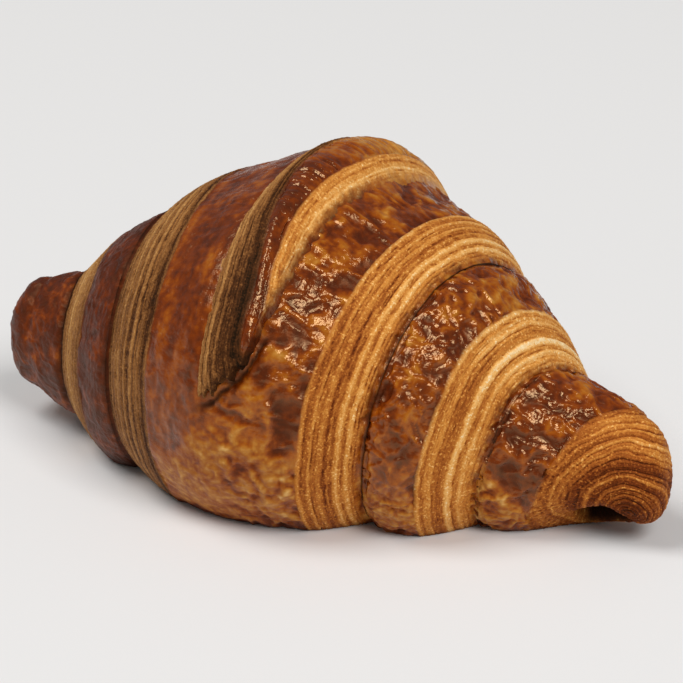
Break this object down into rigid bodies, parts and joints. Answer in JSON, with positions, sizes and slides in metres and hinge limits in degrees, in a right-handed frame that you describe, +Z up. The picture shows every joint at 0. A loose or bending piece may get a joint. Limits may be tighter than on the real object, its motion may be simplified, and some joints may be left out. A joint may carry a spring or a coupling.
{
  "type": "croissant",
  "caption": "Whole baked butter croissant: a straight rolled-up dough roll with stepped wraps, laminated cut edges, blunt tapered tips and a flat base.",
  "frame": {"origin": "middle of the bounding box at the level of the surface that the croissant rests on", "axes": "+X along the roll to its lower tip, +Z up, and the front that the picture shows faces -Y"},
  "size_m": [0.143, 0.0896, 0.0673],
  "materials": {
    "crust": "baked laminated dough: glossy egg-washed brown skin with drier golden cut edges"
  },
  "bodies": {
    "root": {"croissant": "crust"}
  },
  "joints": []
}
